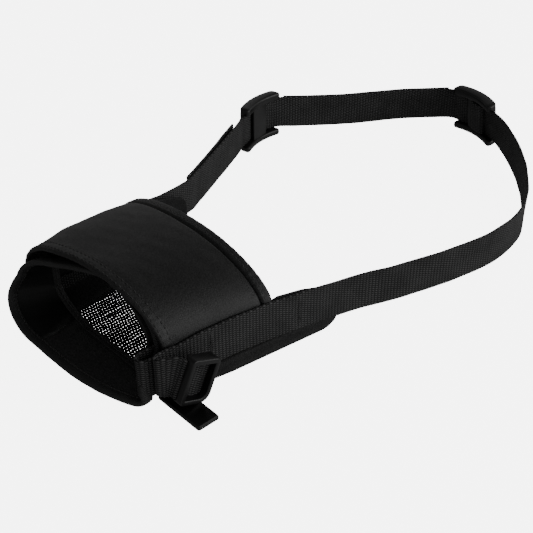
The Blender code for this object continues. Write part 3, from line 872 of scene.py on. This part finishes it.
LEFT_ROUTE = [
    (61.2, 121.0, 1.2, 0), (67.6, 142.0, 0.2, 0), (75.6, 172.8, 0.0, 0), (79.4, 200.7, 0.0, 0),
    (74.8, 230.0, 0.0, 0), (58.3, 257.3, 0.5, 0), (37.7, 279.9, 1.9, 1), (15.6, 297.3, 3.7, 3),
]
REAR_ROUTE = [
    (-35.0, 313.2, 3.9, 4), (-42.5, 308.6, 3.1, 2), (-61.1, 291.9, 1.0, 1), (-79.2, 263.5, 0.4, 0),
    (-95.7, 234.4, 2.6, 0),
]
RIGHT_ROUTE = [
    (-93.6, 181.0, LOOP_RAISED, 0), (-88.0, 169.4, 3.2, 0), (-80.8, 151.8, 0.9, 0), (-70.4, 130.2, 0.2, 0),
    (-63.5, 117.0, 1.2, 0),
]


def slide_route(ends, lean):
    """Route points through a slide."""
    middle = slide_middle(ends)
    return [(*place, LOOP_RAISED, lean) for place in (ends[0], middle, ends[1])]


def strap_low(y):
    """The lower edge of the side straps, which rise over the wings' hems."""
    return knots(y, STRAP_LOW)


def side_route(side, places):
    """Route points along one side of the muzzle."""
    return [(side * (half_width(y) + WEB_GAP + WEB_THICK / 2), y, float(strap_low(y)), 0) for y in places]


def build_strap():
    """One length of webbing, and the two plies that are doubled back beside it.

    It hooks in round the rim, runs back along the left side, round the neck and up the right side. It bends
    where the loop leaves the wings.
    """
    outside, inside, turn_y = half_width(5) + 1.0, 40.5, 6.0
    middle, radius = (outside + inside) / 2, (outside - inside) / 2
    hook = [(inside, 15.0, 4.4, 0), (inside, 10.0, 4.4, 0)]
    for degrees in range(180, 361, 30):
        angle = math.radians(degrees)
        hook.append((middle + radius * math.cos(angle), turn_y + radius * math.sin(angle), 4.4, 0))
    places = (12, 17, 23, 31, 40, 50, 59, 68, 77, 86, 95)
    route = hook + side_route(1, places) + LEFT_ROUTE + slide_route(LEFT_SLIDE, 8) + REAR_ROUTE
    route += slide_route(RIGHT_SLIDE, 0) + RIGHT_ROUTE + side_route(-1, places[::-1])
    strap = standing(route, "strap_webbing", seed=41)
    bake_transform(strap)
    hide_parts("neck_strap", "side_strap_left", "side_strap_right")

    rear = [(-39.0, 311.0, 3.6, 2)] + REAR_ROUTE[1:] + [(-100.6, 224.9, 3.6, 0)]
    outwards = ((0, 2.4), (0.15, 1.9), (0.5, 2.4), (0.85, 1.9), (1, 2.6))
    painted_side_shade = standing(rear, "rear_ply", seed=43, outwards=outwards)
    piece(painted_side_shade, "neck_loop", "webbing", "rear_strap_outer_ply")
    right = [(-90.9, 177.3, 4.0, 0)] + RIGHT_ROUTE[1:-1] + [(-65.0, 119.8, 1.0, 0)]
    painted_side_shade = standing(right, "right_ply", seed=44, outwards=((0, 3.6), (0.12, 2.9), (0.5, 2.6), (1, 2.0)))
    piece(painted_side_shade, "neck_loop", "webbing", "right_strap_outer_ply")


def build_bar_tacks():
    """Close zigzag stitching that holds the straps to the panels."""
    for side, name in ((1, "left"), (-1, "right")):
        for place, y in (("front", 37.0), ("rear", 84.0)):
            low = float(strap_low(y))
            z = np.linspace(low + 2.0, low + 18.0, 33)
            zigzag = np.where(np.arange(33) % 2, 0.9, -0.9)
            x = side * (half_width(y + zigzag) + WEB_GAP + WEB_THICK + 0.02)
            path = np.stack([x, y + zigzag, z], -1)
            normals = np.broadcast_to([side * 1.0, 0, 0], path.shape)
            tack = stitches(f"tack_{place}_{name}", path, normals, pitch=1.9, length=1.8, radius=0.2)
            piece(tack, "muzzle", "thread", f"bar_tack_{place}_{name}")


NOSE_SLIDE_CENTRE = np.array([57.3, 21.6, 13.2])
NOSE_ALONG = unit(np.array([0.03, math.cos(math.radians(22)), -math.sin(math.radians(22))]))
NOSE_OUT = unit(np.array([math.cos(math.radians(3)), 0.0, -math.sin(math.radians(3))]))
NOSE_UP = unit(np.cross(NOSE_OUT, NOSE_ALONG))


def build_nose_strap():
    """A doubled strip at the left of the opening: it folds round at the rim and flares out to its slide."""
    rows = [
        (48.8, 19.0, 16.4), (48.6, 14.0, 16.8), (48.6, 10.0, 17.0), (49.0, 8.2, 17.0), (50.3, 7.5, 17.0),
        (51.7, 8.4, 17.0), (53.0, 10.2, 17.0), (55.0, 13.4, 16.8),
    ]
    tops = [UP] * 6 + [unit(UP + 0.15 * NOSE_UP), unit(UP + 3 * NOSE_UP)]
    widths = [WEB_WIDTH] * 7 + [19.4]
    for distance in (-7.6, -2.0, 3.0, 6.6):
        rows.append(NOSE_SLIDE_CENTRE + NOSE_ALONG * distance)
        tops.append(NOSE_UP)
        widths.append(18.2)
    dense = curve(np.hstack([np.array(rows), np.array(tops), np.array(widths)[:, None]]))
    strap = webbing("nose_webbing", dense[:, :3], unit(dense[:, 3:6]), dense[:, 6], seed=45)
    piece(strap, "muzzle", "webbing", "nose_strap")


# -------- plastic


def section(low_a, high_a, low_b, high_b, corner=0.6):
    """A rounded rectangle between two limits on each axis, as rows of (a, b), paired for capping."""
    points = []
    for sign_a, sign_b, start in ((1, 1, 0), (-1, 1, 90), (-1, -1, 180), (1, -1, 270)):
        for degrees in (0, 30, 60, 90):
            angle = math.radians(start + degrees)
            a = (high_a if sign_a > 0 else low_a) + corner * (math.cos(angle) - sign_a)
            b = (high_b if sign_b > 0 else low_b) + corner * (math.sin(angle) - sign_b)
            points.append((a, b))
    return np.array(points)


def quarter(x, y, radius, start, count):
    """Points on a quarter turn round (x, y), from a starting angle in degrees."""
    angles = [math.radians(start + degrees) for degrees in np.linspace(0, 90, count)]
    return [(x + radius * math.cos(angle), y + radius * math.sin(angle)) for angle in angles]


def ring_path(length, height, corners):
    """A closed rounded rectangle in a slide's own plane, with its own radius at each corner."""
    points = []
    for sx, sz, radius, start in zip((1, -1, -1, 1), (1, 1, -1, -1), corners, (0, 90, 180, 270)):
        points += quarter(sx * (length / 2 - radius), sz * (height / 2 - radius), radius, start, 9)
    return evenly(np.array(points), 120)


def slide_frame(length, height, rail, bar, rail_depth, bar_depth, corners):
    """A slide's closed frame in its own axes: X along the webbing, Y outwards, Z along the bars.

    rail and bar are the frame's widths along its long and short sides; the depths are (low, high) in Y.
    """
    path = ring_path(length, height, corners)
    along = unit(np.roll(path, -1, 0) - np.roll(path, 1, 0))
    inward = np.stack([-along[:, 1], along[:, 0]], -1)
    is_rail = step(0.25, 0.75, np.abs(along[:, 0]))
    loops = []
    for spot, into, share in zip(path, inward, is_rail):
        width = bar + (rail - bar) * share
        low = bar_depth[0] + (rail_depth[0] - bar_depth[0]) * share
        high = bar_depth[1] + (rail_depth[1] - bar_depth[1]) * share
        ring = section(0, width, low, high, 0.55)
        loops.append([(spot[0] + into[0] * a, b, spot[1] + into[1] * a) for a, b in ring])
    return np.array(loops)


def slide_bar(centre, width, depth, height, corner=0.5):
    """An upright bar of a slide, between its rails."""
    z = spread(-height / 2, height / 2, 2.0, 0.5)
    ring = section(centre - width / 2, centre + width / 2, depth[0], depth[1], corner)
    return np.array([[(a, b, level) for a, b in ring] for level in z])


def joined(name, parts, material):
    """One object from several closed skins, given as (loops, closed)."""
    work = bmesh.new()
    for n, (loops, closed) in enumerate(parts):
        s, t = np.arange(len(loops)) * 1.0, np.arange(loops.shape[1] + 1) * 1.0
        obj = tubes(f"{name}_{n}", loops[None], material, s, t, closed, 40)
        work.from_mesh(obj.data)
        bpy.data.objects.remove(obj)
    mesh = bpy.data.meshes.new(name)
    work.to_mesh(mesh)
    work.free()
    mesh.materials.append(material)
    return add_object(name, mesh)


def place_loops(loops, centre, along, outward, up, bow=0.0, reach=1.0):
    """Loops in a slide's own axes, bowed outwards in the middle and set in place."""
    x, y, z = loops[..., 0], loops[..., 1], loops[..., 2]
    y = y + bow * (1 - (x / reach) ** 2)
    return centre + x[..., None] * along + y[..., None] * outward + z[..., None] * up


def slide_rail(level, height):
    """A long side of a neck slide, with rounded ends, in the slide's own axes."""
    x = spread(-SLIDE_LENGTH / 2, SLIDE_LENGTH / 2, 1.2, 2.6)
    ring = section(*RAIL_DEPTH, level, level + height, 1.3)
    middle = np.array([0, level + height / 2])
    share = rounded(x, 2.6)[:, None]
    shrink = np.stack([0.3 + 0.7 * share, 0.55 + 0.45 * share], -1)
    points = middle + (ring - middle) * shrink
    return np.stack([x[:, None] + 0 * points[..., 0], points[..., 0], points[..., 1]], -1)


def build_neck_slide(name, ends, lean, wrapped):
    """A three-bar slide: two bowed rails, an outer bar at each end and a broad plate inside the webbing."""
    along = np.append(unit(ends[1] - ends[0]), 0)
    outward = np.array([along[1], -along[0], 0])
    up = unit(UP - outward * math.tan(math.radians(lean)))
    outward = unit(outward + UP * math.tan(math.radians(lean)))
    foot = np.append(ends.mean(0), LOOP_RAISED)
    axes = (foot + up * WEB_WIDTH / 2, along, outward, up, SLIDE_BOW, SLIDE_REACH)
    half = SLIDE_HEIGHT / 2
    parts = [slide_rail(half - RAIL_HEIGHT, RAIL_HEIGHT + 0.8), slide_rail(-half, RAIL_HEIGHT)]
    parts += [slide_bar(place, 3.0, (0.9, 2.8), SLIDE_HEIGHT - 5.0) for place in (-14.6, 14.6)]
    parts.append(slide_bar(0, 13.0, (-3.3, -1.0), SLIDE_HEIGHT - 5.0, 0.7))
    parts = [(place_loops(part, *axes), False) for part in parts]
    piece(joined(name + "_moulded", parts, PLASTIC), name, "moulded_plastic", name)
    if wrapped:
        x = np.array([-6.9, -7.3, -6.8, -4.5, -1.0, 2.2, 3.0, 2.8])
        depth = np.array([-0.4, -2.2, -3.9, -4.3, -4.3, -3.9, -2.2, -0.4])
        flat = np.stack([x, depth, 0 * x], -1)
        centres = place_loops(curve(flat), *axes)
        tops, widths = np.tile(up, (len(centres), 1)), np.full(len(centres), WEB_WIDTH - 0.6)
        piece(webbing("slide_wrap_left", centres, tops, widths, seed=46), name, "webbing")


def build_nose_slide():
    """The small three-bar slide on the nose strap: a closed frame and one bar behind the webbing."""
    length, height = 15.6, 22.2
    loops = slide_frame(length, height, 2.5, 2.3, (-1.6, 4.4), (0.75, 4.4), (2.2, 2.0, 2.0, 5.5))
    bar = slide_bar(0.2, 2.8, (-2.4, -0.85), height - 2.4)
    axes = (NOSE_SLIDE_CENTRE, NOSE_ALONG, NOSE_OUT, NOSE_UP)
    parts = [(place_loops(loops, *axes), True), (place_loops(bar, *axes), False)]
    piece(joined("nose_slide_moulded", parts, PLASTIC), "nose_slide", "moulded_plastic", "nose_slide")


def build_tab():
    """The pull tab: a flat slab with a bevelled rim, held by a folded patch of webbing."""
    low, high = box_mm("chin_tab")
    tip, near, far, corner = high[0] + 1.2, low[1], high[1], 1.2
    root, tip = low[0] - 4.5 + corner, tip - corner
    outline = []
    for x, sign, start in ((root, 1, 90), (root, -1, 180), (tip, -1, -90), (tip, 1, 0)):
        outline += quarter(x, (near if sign < 0 else far) - sign * corner, corner, start, 6)
    outline = np.array(outline)
    centre = outline.mean(0)
    rows = []
    for inset, z in ((0.5, 0.0), (0.1, 0.15), (0, 0.5), (0, 1.15), (0.1, 1.4), (0.7, 1.95), (0.9, 2.0)):
        shrink = 1 - inset / np.linalg.norm(outline - centre, axis=1, keepdims=True) * 1.2
        flat = centre + (outline - centre) * shrink
        rows.append(np.column_stack([flat, np.full(len(flat), low[2] + z)]))
    points = np.vstack(rows)
    count = len(outline)
    faces = [list(range(count))[::-1], list(range(len(points) - count, len(points)))]
    for r in range(len(rows) - 1):
        for k in range(count):
            a, b = r * count + k, r * count + (k + 1) % count
            faces.append([a, b, b + count, a + count])
    tab = finish_mesh("pull_tab", points, faces, TAB_PLASTIC, sharp=25)
    piece(tab, "chin_tab", "tab_plastic", "chin_tab")

    low, high = box_mm("chin_tab_anchor")
    ring = section(low[0], high[0], low[2], high[2], 0.9)
    y = spread(low[1], high[1], WEB_STEP, 0.4)
    full = rounded(y, 0.4)[:, None, None]
    middle = np.array([(low[0] + high[0]) / 2, (low[2] + high[2]) / 2])
    x, z = np.moveaxis(middle + (ring - middle) * full, -1, 0)
    loops = np.stack([x, y[:, None] + 0 * x, z], -1)
    patch = tubes("tab_patch", loops[None], WEBBING, y, np.arange(17) * 0.7)
    piece(patch, "muzzle", "webbing", "chin_tab_anchor")


# -------- stage


def add_light(name, size, power, location, target):
    """A soft rectangular light, sizes in metres and power in watts, turned to its target."""
    data = bpy.data.lights.new(name, "AREA")
    data.shape, data.size, data.size_y, data.energy = "RECTANGLE", size[0], size[1], power
    light = add_object(name, data)
    light.location = location
    light.rotation_euler = (Vector(target) - Vector(location)).to_track_quat("-Z", "Y").to_euler()


def build_floor():
    r = FLOOR_REACH
    mesh = bpy.data.meshes.new("floor")
    mesh.from_pydata([(-r, -r, 0), (r, -r, 0), (r, r, 0), (-r, r, 0)], [], [[0, 1, 2, 3]])
    mesh.materials.append(make_floor())
    floor = add_object("floor", mesh)
    floor.location.z = -0.0003
    floor.visible_diffuse = floor.visible_glossy = False


def build_world():
    """Soft light all round, brightest a little above the horizon and on the +X side."""
    world = bpy.data.worlds.new("studio")
    world.use_nodes = True
    nodes, link = world.node_tree.nodes, world.node_tree.links.new
    lit = nodes["Background"]
    place, split = nodes.new("ShaderNodeTexCoord"), nodes.new("ShaderNodeSeparateXYZ")
    link(place.outputs["Generated"], split.inputs[0])
    ramp = nodes.new("ShaderNodeValToRGB")
    link(split.outputs["Z"], ramp.inputs[0])
    stops = ramp.color_ramp.elements
    for height, grey in ((0.0, 0.25), (0.06, 0.5), (0.7, 0.15)):
        stops.new(height).color = (grey, grey, grey, 1)
    stops.remove(stops[0])
    stops.remove(stops[-1])
    link(ramp.outputs[0], lit.inputs["Color"])

    side, share = nodes.new("ShaderNodeVectorMath"), nodes.new("ShaderNodeMapRange")
    side.operation = "DOT_PRODUCT"
    side.inputs[1].default_value = (0.85, 0.5, 0.0)
    link(place.outputs["Generated"], side.inputs[0])
    link(side.outputs["Value"], share.inputs["Value"])
    for key, value in (("From Min", -1.0), ("From Max", 1.0), ("To Min", 0.4), ("To Max", 1.3)):
        share.inputs[key].default_value = value
    link(share.outputs[0], lit.inputs["Strength"])

    # What the camera sees beyond the floor is as bright as the floor
    seen, mixed = nodes.new("ShaderNodeBackground"), nodes.new("ShaderNodeMixShader")
    seen.inputs["Strength"].default_value = FLOOR_GLOW
    seen.inputs["Color"].default_value = (1.0, 1.0, 1.0, 1)
    link(nodes.new("ShaderNodeLightPath").outputs["Is Camera Ray"], mixed.inputs[0])
    link(lit.outputs[0], mixed.inputs[1])
    link(seen.outputs[0], mixed.inputs[2])
    link(mixed.outputs[0], nodes["World Output"].inputs["Surface"])
    bpy.context.scene.world = world


def build_camera():
    data = bpy.data.cameras.new("camera")
    data.sensor_width = 36
    data.lens = CAMERA_LENS
    data.clip_start = 0.01
    camera = add_object("camera", data)
    camera.location = CAMERA_PLACE
    camera.rotation_euler = Vector(CAMERA_AIM).to_track_quat("-Z", "Y").to_euler()
    bpy.context.scene.camera = camera


build_saddle()
build_opening()
build_net()
for side in (1, -1):
    build_wing(side)
build_strap()
build_bar_tacks()
build_nose_strap()
build_nose_slide()
build_neck_slide("neck_slide_left", LEFT_SLIDE, 8, True)
build_neck_slide("neck_slide_right", RIGHT_SLIDE, 0, False)
build_tab()
build_floor()
build_world()
for name, size, power, location in (
    ("soft_right", (1.6, 1.2), 9, (1.3, 0.9, 0.6)),
    ("soft_back", (1.6, 0.6), 0.3, (-1.2, 1.0, 0.3)),
):
    add_light(name, size, power, location, (0, 0.05, 0.02))
build_camera()
